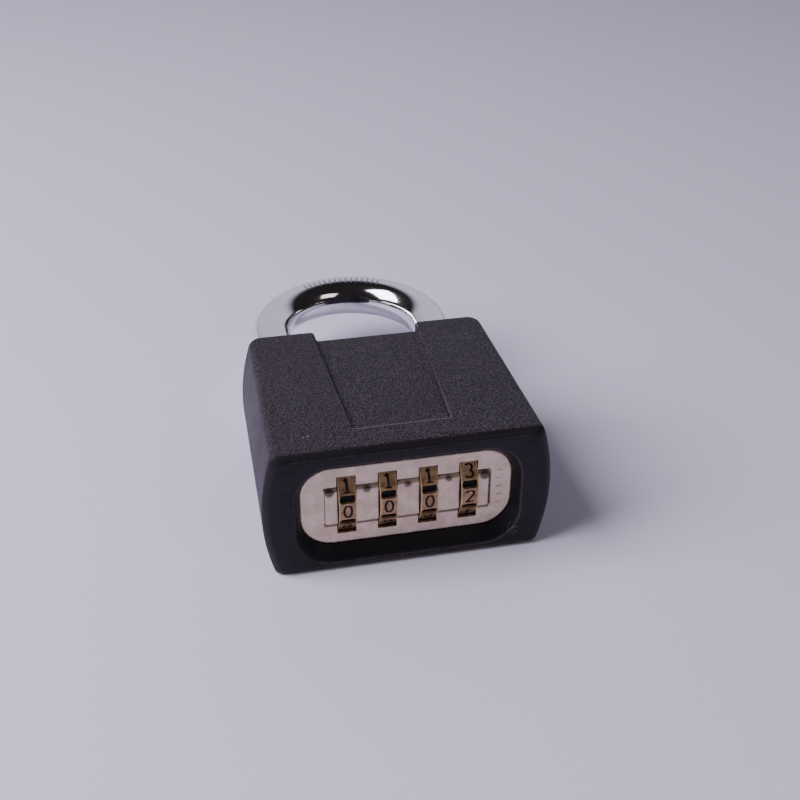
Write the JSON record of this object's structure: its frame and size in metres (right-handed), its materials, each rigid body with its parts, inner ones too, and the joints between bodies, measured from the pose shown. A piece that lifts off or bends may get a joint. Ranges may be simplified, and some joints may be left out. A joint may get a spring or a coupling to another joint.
{
  "type": "combination padlock",
  "caption": "Black die-cast combination padlock with a chromed shackle and turning number dials behind windows in a plated end plate.",
  "frame": {"origin": "middle of the closed padlock's footprint, on the flat back face", "axes": "+Z out of the front face, +Y towards the shackle's crown, +X to the right seen from the front with the shackle up"},
  "size_m": [0.05, 0.08, 0.0246],
  "materials": {
    "black_body": "fine pebbled black powder coat",
    "nickel_plate": "polished warm nickel plate",
    "dial_brass": "antique brass, blackened grooves and digits",
    "shackle_chrome": "bright chrome plate",
    "bright_steel": "ground steel",
    "spring_steel": "drawn spring wire",
    "cast_zinc": "as-cast zinc",
    "turned_brass": "turned brass",
    "black_pin": "satin black"
  },
  "bodies": {
    "case": {"body_shell": "black_body", "dial_plate": "nickel_plate", "dial_carrier": "cast_zinc", "dial_spindle": "bright_steel", "spindle_clips": "spring_steel", "click_spring": "spring_steel", "shackle_stop_pin": "black_pin", "end_pin_left": "black_pin", "end_pin_right": "black_pin", "stack_spring": "spring_steel", "bar_spring_left": "spring_steel", "bar_spring_right": "spring_steel", "shackle_spring": "spring_steel"},
    "shackle": {"shackle": "shackle_chrome"},
    "locking_bar": {"locking_bar": "cast_zinc"},
    "locking_bolt_left": {"locking_bolt_left": "bright_steel"},
    "locking_bolt_right": {"locking_bolt_right": "bright_steel"},
    "dial_1": {"dial_1": "dial_brass", "tumbler_1": "turned_brass"},
    "dial_2": {"dial_2": "dial_brass", "tumbler_2": "turned_brass"},
    "dial_3": {"dial_3": "dial_brass", "tumbler_3": "turned_brass"},
    "dial_4": {"dial_4": "dial_brass", "tumbler_4": "turned_brass"}
  },
  "joints": [
    {"name": "shackle_slide", "type": "slide", "parent": "case", "child": "shackle", "axis": [0, 1, 0], "range_m": [0, 0.0145], "deforming": ["shackle_spring"]},
    {"name": "dial_1_turn", "type": "hinge", "parent": "case", "child": "dial_1", "pos_m": [-0.01056, -0.0322, 0.0123], "axis": [1, 0, 0], "continuous": true},
    {"name": "dial_2_turn", "type": "hinge", "parent": "case", "child": "dial_2", "pos_m": [-0.00352, -0.0322, 0.0123], "axis": [1, 0, 0], "continuous": true},
    {"name": "dial_3_turn", "type": "hinge", "parent": "case", "child": "dial_3", "pos_m": [0.00352, -0.0322, 0.0123], "axis": [1, 0, 0], "continuous": true},
    {"name": "dial_4_turn", "type": "hinge", "parent": "case", "child": "dial_4", "pos_m": [0.01056, -0.0322, 0.0123], "axis": [1, 0, 0], "continuous": true},
    {"name": "locking_bar_slide", "type": "slide", "parent": "case", "child": "locking_bar", "axis": [0, 1, 0], "range_m": [0, 0.0018], "deforming": ["bar_spring_left", "bar_spring_right"]},
    {"name": "bolt_left_slide", "type": "slide", "parent": "case", "child": "locking_bolt_left", "axis": [-1, 0, 0], "range_m": [0, 0.0018]},
    {"name": "bolt_right_slide", "type": "slide", "parent": "case", "child": "locking_bolt_right", "axis": [1, 0, 0], "range_m": [0, 0.0018]}
  ],
  "couplings": [
    {"joint": "bolt_left_slide", "follows": "locking_bar_slide", "ratio": 1},
    {"joint": "bolt_right_slide", "follows": "locking_bar_slide", "ratio": 1}
  ]
}
